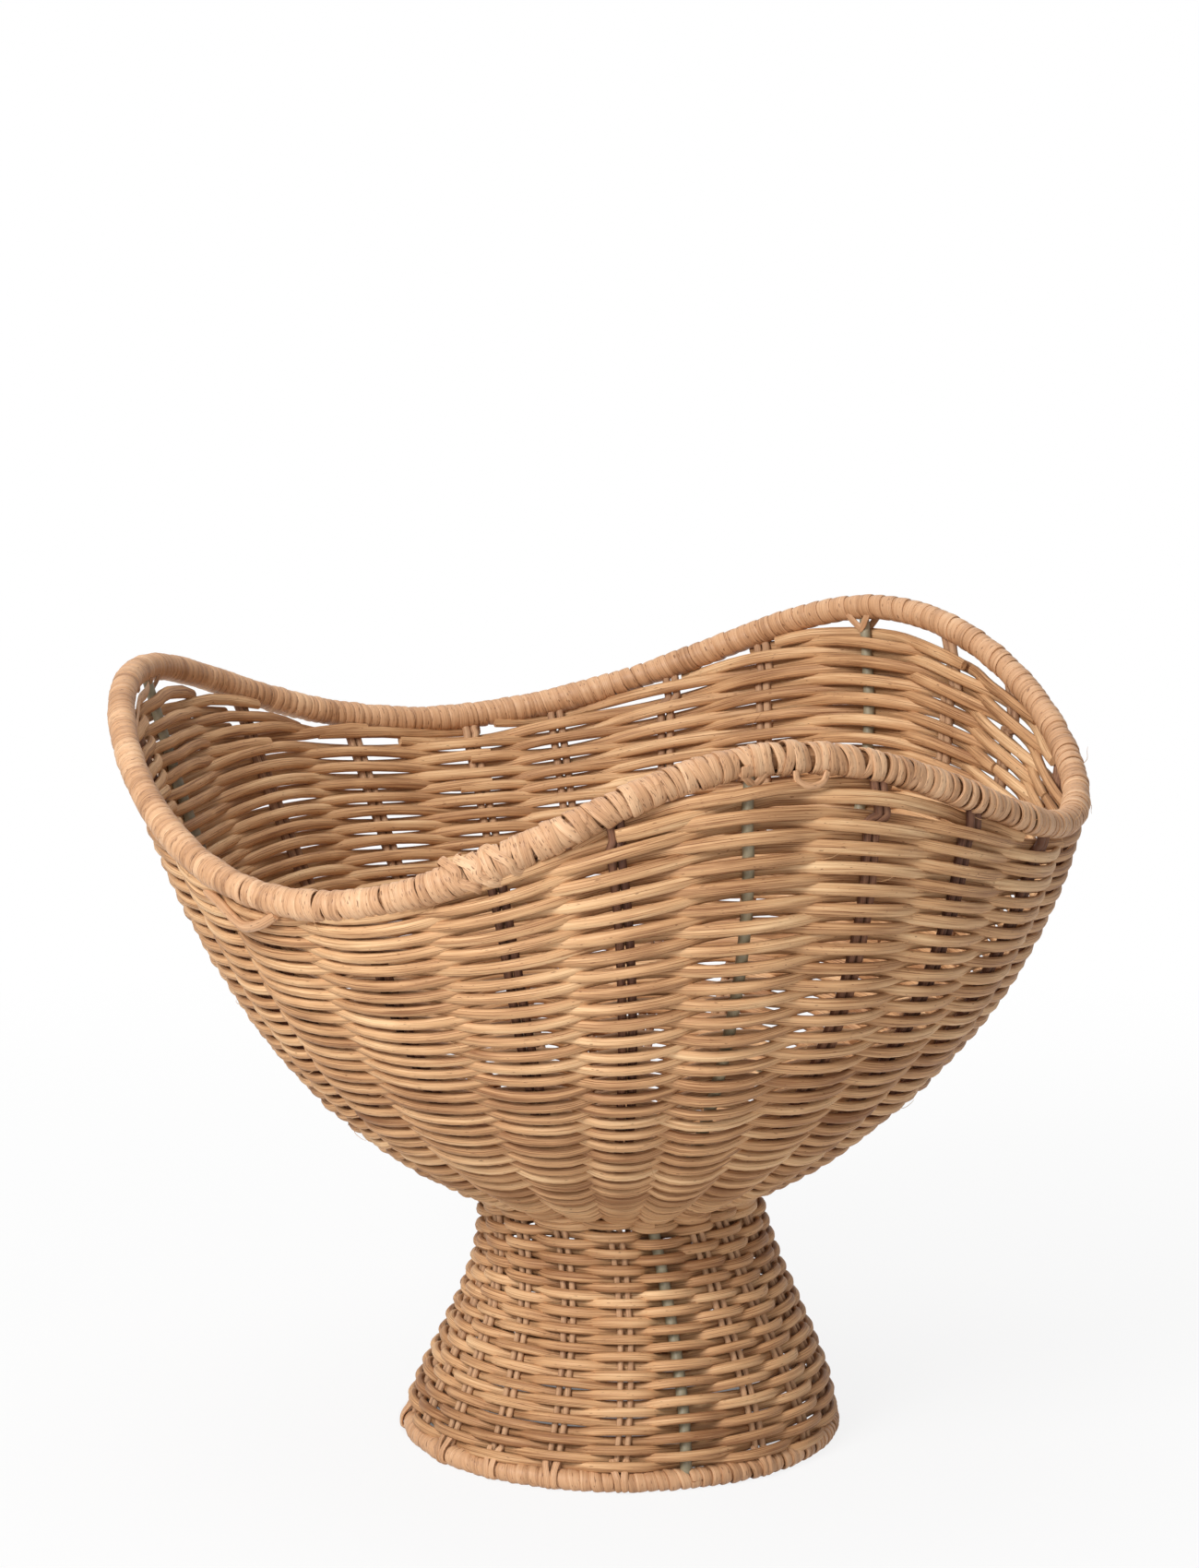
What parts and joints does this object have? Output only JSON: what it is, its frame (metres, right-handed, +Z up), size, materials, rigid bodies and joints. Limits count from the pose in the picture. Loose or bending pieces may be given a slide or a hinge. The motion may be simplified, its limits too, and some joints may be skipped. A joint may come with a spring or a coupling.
{
  "type": "pedestal basket",
  "caption": "Round rattan storage basket: a wide woven bowl with a wavy bound rim on a narrow waist and a flared woven foot.",
  "frame": {"origin": "on the surface the basket stands on, under the middle of its outline", "axes": "+Z up; the picture looks along +Y, with +X to its right"},
  "size_m": [0.37, 0.36, 0.3024],
  "materials": {
    "weaver_rattan": "dry, unvarnished rattan core with fine grain",
    "stake_rattan": "dry rattan core, browner than the weavers",
    "cane_peel": "wound cane peel, slightly glossy, frayed in places",
    "painted_steel": "grey-green paint, satin"
  },
  "bodies": {
    "root": {"rim_ring": "painted_steel", "waist_ring": "painted_steel", "base_ring": "painted_steel", "steel_rib_1": "painted_steel", "steel_rib_2": "painted_steel", "steel_rib_3": "painted_steel", "rim_binding_1": "cane_peel", "rim_binding_2": "cane_peel", "rim_binding_3": "cane_peel", "base_binding_1": "cane_peel", "base_binding_2": "cane_peel", "base_binding_3": "cane_peel", "bowl_floor": "weaver_rattan", "bowl_weave_1": "weaver_rattan", "bowl_weave_2": "weaver_rattan", "bowl_weave_3": "weaver_rattan", "bowl_weave_4": "weaver_rattan", "bowl_weave_5": "weaver_rattan", "bowl_weave_6": "weaver_rattan", "bowl_weave_7": "weaver_rattan", "bowl_weave_8": "weaver_rattan", "bowl_weave_9": "weaver_rattan", "bowl_weave_10": "weaver_rattan", "bowl_weave_11": "weaver_rattan", "bowl_weave_12": "weaver_rattan", "bowl_weave_13": "weaver_rattan", "bowl_weave_14": "weaver_rattan", "peak_fill_1": "weaver_rattan", "peak_fill_2": "weaver_rattan", "peak_fill_3": "weaver_rattan", "foot_weave_1": "weaver_rattan", "foot_weave_2": "weaver_rattan", "foot_weave_3": "weaver_rattan", "foot_weave_4": "weaver_rattan", "foot_weave_5": "weaver_rattan", "stake_01": "stake_rattan", "stake_02": "stake_rattan", "stake_03": "stake_rattan", "stake_04": "stake_rattan", "stake_05": "stake_rattan", "stake_06": "stake_rattan", "stake_07": "stake_rattan", "stake_08": "stake_rattan", "stake_09": "stake_rattan", "stake_10": "stake_rattan", "stake_11": "stake_rattan", "stake_12": "stake_rattan", "stake_13": "stake_rattan", "stake_14": "stake_rattan", "stake_15": "stake_rattan", "stake_16": "stake_rattan", "stake_17": "stake_rattan", "stake_18": "stake_rattan", "stake_19": "stake_rattan", "stake_20": "stake_rattan", "stake_21": "stake_rattan"}
  },
  "joints": []
}
